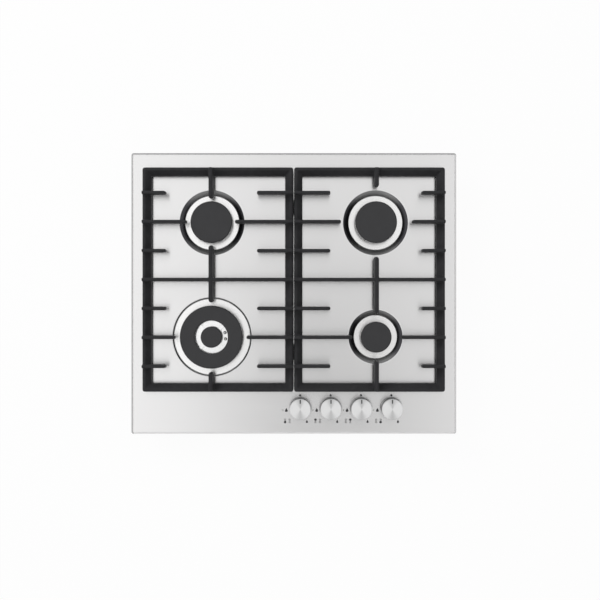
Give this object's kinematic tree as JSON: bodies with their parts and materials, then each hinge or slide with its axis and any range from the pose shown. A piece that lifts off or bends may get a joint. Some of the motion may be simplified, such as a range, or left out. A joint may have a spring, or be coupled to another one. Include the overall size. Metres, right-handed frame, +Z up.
{
  "type": "gas cooktop",
  "caption": "Built-in gas cooktop: brushed steel plate, lift-off cast-iron pan supports, wok and plain burners, turned knobs, and a base tray with taps and pipes.",
  "frame": {"origin": "middle of the plate's outline, at the underside of the base tray", "axes": "+X to the right, +Y to the rear, +Z up"},
  "size_m": [0.59, 0.51, 0.096],
  "materials": {
    "brushed_plate": "brushed stainless, grain left to right",
    "zinc_steel": "zinc-coated sheet",
    "cast_iron": "matt black enamel on cast iron",
    "black_enamel": "satin black enamel",
    "cast_aluminium": "fine cast, tumbled",
    "turned_aluminium": "turned, fine circular grain",
    "brass": "machined",
    "plated_steel": "zinc-plated",
    "pipe_aluminium": "drawn tube",
    "black_rubber": "matt",
    "foam": "closed-cell foam",
    "black_plastic": "moulded",
    "pale_plastic": "moulded",
    "ceramic": "glazed",
    "lead_sheath": "silicone sheath"
  },
  "bodies": {
    "hob": {"base_tray": "zinc_steel", "burner_cup_front_left": "cast_aluminium", "burner_cup_front_right": "cast_aluminium", "burner_cup_rear_left": "cast_aluminium", "burner_cup_rear_right": "cast_aluminium", "burner_screws": "plated_steel", "cable_gland": "black_rubber", "clip_screws": "plated_steel", "gas_inlet": "brass", "gas_manifold": "plated_steel", "ignition_leads": "lead_sheath", "ignition_module": "black_plastic", "ignition_switches": "black_plastic", "injectors": "brass", "inlet_lock_nut": "brass", "pipe_nuts": "brass", "rail_screws": "plated_steel", "saddle_screws": "plated_steel", "sealing_strip": "foam", "sensor_leads": "lead_sheath", "spark_plugs": "ceramic", "spindle_seals": "black_rubber", "supply_pipes": "pipe_aluminium", "switch_harness": "lead_sheath", "tap_bodies": "brass", "tap_rail": "zinc_steel", "tap_saddles": "zinc_steel", "terminal_block": "pale_plastic", "thermocouples": "plated_steel", "top_plate": "brushed_plate", "tray_brackets": "zinc_steel", "tray_screws": "plated_steel", "worktop_clips": "zinc_steel"},
    "left_pan_support": {"pan_support_left": "cast_iron", "support_feet_left": "black_rubber"},
    "right_pan_support": {"pan_support_right": "cast_iron", "support_feet_right": "black_rubber"},
    "front_left_spreader": {"flame_spreader_front_left": "cast_aluminium"},
    "wok_ring_cap_body": {"wok_ring_cap": "black_enamel"},
    "wok_centre_cap_body": {"wok_centre_cap": "black_enamel"},
    "rear_left_spreader": {"flame_spreader_rear_left": "cast_aluminium"},
    "burner_cap_rear_left_body": {"burner_cap_rear_left": "black_enamel"},
    "rear_right_spreader": {"flame_spreader_rear_right": "cast_aluminium"},
    "burner_cap_rear_right_body": {"burner_cap_rear_right": "black_enamel"},
    "front_right_spreader": {"flame_spreader_front_right": "cast_aluminium"},
    "burner_cap_front_right_body": {"burner_cap_front_right": "black_enamel"},
    "front_left_tap_press": {"thrust_ring_front_left": "plated_steel"},
    "front_left_knob": {"knob_front_left": "turned_aluminium", "spindle_front_left": "plated_steel"},
    "rear_left_tap_press": {"thrust_ring_rear_left": "plated_steel"},
    "rear_left_knob": {"knob_rear_left": "turned_aluminium", "spindle_rear_left": "plated_steel"},
    "rear_right_tap_press": {"thrust_ring_rear_right": "plated_steel"},
    "rear_right_knob": {"knob_rear_right": "turned_aluminium", "spindle_rear_right": "plated_steel"},
    "front_right_tap_press": {"thrust_ring_front_right": "plated_steel"},
    "front_right_knob": {"knob_front_right": "turned_aluminium", "spindle_front_right": "plated_steel"}
  },
  "joints": [
    {"name": "left_support_lift", "type": "slide", "parent": "hob", "child": "left_pan_support", "axis": [0, 0, 1], "range_m": [0, 0.08]},
    {"name": "right_support_lift", "type": "slide", "parent": "hob", "child": "right_pan_support", "axis": [0, 0, 1], "range_m": [0, 0.08]},
    {"name": "front_left_spreader_lift", "type": "slide", "parent": "hob", "child": "front_left_spreader", "axis": [0, 0, 1], "range_m": [0, 0.04]},
    {"name": "wok_ring_cap_lift", "type": "slide", "parent": "front_left_spreader", "child": "wok_ring_cap_body", "axis": [0, 0, 1], "range_m": [0, 0.03]},
    {"name": "wok_centre_cap_lift", "type": "slide", "parent": "front_left_spreader", "child": "wok_centre_cap_body", "axis": [0, 0, 1], "range_m": [0, 0.03]},
    {"name": "rear_left_spreader_lift", "type": "slide", "parent": "hob", "child": "rear_left_spreader", "axis": [0, 0, 1], "range_m": [0, 0.04]},
    {"name": "burner_cap_rear_left_lift", "type": "slide", "parent": "rear_left_spreader", "child": "burner_cap_rear_left_body", "axis": [0, 0, 1], "range_m": [0, 0.03]},
    {"name": "rear_right_spreader_lift", "type": "slide", "parent": "hob", "child": "rear_right_spreader", "axis": [0, 0, 1], "range_m": [0, 0.04]},
    {"name": "burner_cap_rear_right_lift", "type": "slide", "parent": "rear_right_spreader", "child": "burner_cap_rear_right_body", "axis": [0, 0, 1], "range_m": [0, 0.03]},
    {"name": "front_right_spreader_lift", "type": "slide", "parent": "hob", "child": "front_right_spreader", "axis": [0, 0, 1], "range_m": [0, 0.04]},
    {"name": "burner_cap_front_right_lift", "type": "slide", "parent": "front_right_spreader", "child": "burner_cap_front_right_body", "axis": [0, 0, 1], "range_m": [0, 0.03]},
    {"name": "front_left_knob_press", "type": "slide", "parent": "hob", "child": "front_left_tap_press", "axis": [0, 0, -1], "range_m": [0, 0.003], "stiffness_N_per_m": 1200, "springref_m": -0.003},
    {"name": "front_left_knob_turn", "type": "hinge", "parent": "front_left_tap_press", "child": "front_left_knob", "pos_m": [0.0117, -0.2075, 0.07], "axis": [0, 0, 1], "range_deg": [0, 210]},
    {"name": "rear_left_knob_press", "type": "slide", "parent": "hob", "child": "rear_left_tap_press", "axis": [0, 0, -1], "range_m": [0, 0.003], "stiffness_N_per_m": 1200, "springref_m": -0.003},
    {"name": "rear_left_knob_turn", "type": "hinge", "parent": "rear_left_tap_press", "child": "rear_left_knob", "pos_m": [0.0667, -0.2075, 0.07], "axis": [0, 0, 1], "range_deg": [0, 210]},
    {"name": "rear_right_knob_press", "type": "slide", "parent": "hob", "child": "rear_right_tap_press", "axis": [0, 0, -1], "range_m": [0, 0.003], "stiffness_N_per_m": 1200, "springref_m": -0.003},
    {"name": "rear_right_knob_turn", "type": "hinge", "parent": "rear_right_tap_press", "child": "rear_right_knob", "pos_m": [0.1217, -0.2075, 0.07], "axis": [0, 0, 1], "range_deg": [0, 210]},
    {"name": "front_right_knob_press", "type": "slide", "parent": "hob", "child": "front_right_tap_press", "axis": [0, 0, -1], "range_m": [0, 0.003], "stiffness_N_per_m": 1200, "springref_m": -0.003},
    {"name": "front_right_knob_turn", "type": "hinge", "parent": "front_right_tap_press", "child": "front_right_knob", "pos_m": [0.1767, -0.2075, 0.07], "axis": [0, 0, 1], "range_deg": [0, 210]}
  ]
}
